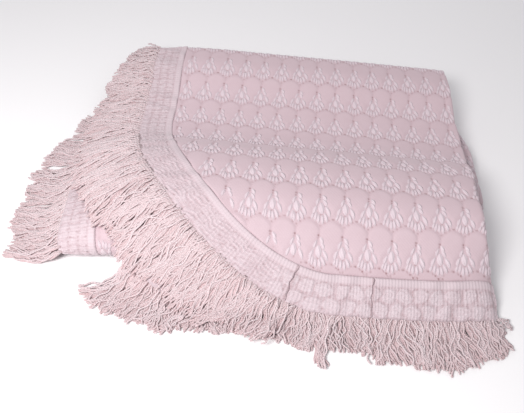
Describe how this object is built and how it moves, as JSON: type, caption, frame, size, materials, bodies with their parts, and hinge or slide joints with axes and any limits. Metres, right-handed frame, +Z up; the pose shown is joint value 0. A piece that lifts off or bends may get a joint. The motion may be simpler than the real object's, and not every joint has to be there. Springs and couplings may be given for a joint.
{
  "type": "lace bedspread",
  "caption": "Folded lace bedspread with raised fan rows, a rounded foot corner and a woven band with a thick yarn fringe along its edges.",
  "frame": {"origin": "under the middle of the folded bedspread, on the surface it lies on", "axes": "+X to the right along the rows of fans, +Y from the foot edge with its fringe towards the back fold, +Z up"},
  "size_m": [0.6278, 0.5242, 0.082],
  "materials": {
    "lace_cotton": "matte",
    "band_cotton": "matte"
  },
  "bodies": {
    "root": {"lace_cloth": "lace_cotton", "trim_left": "band_cotton", "trim_patch": "band_cotton", "trim_right": "band_cotton", "trim_under": "band_cotton", "trim_lower": "band_cotton"}
  },
  "joints": []
}
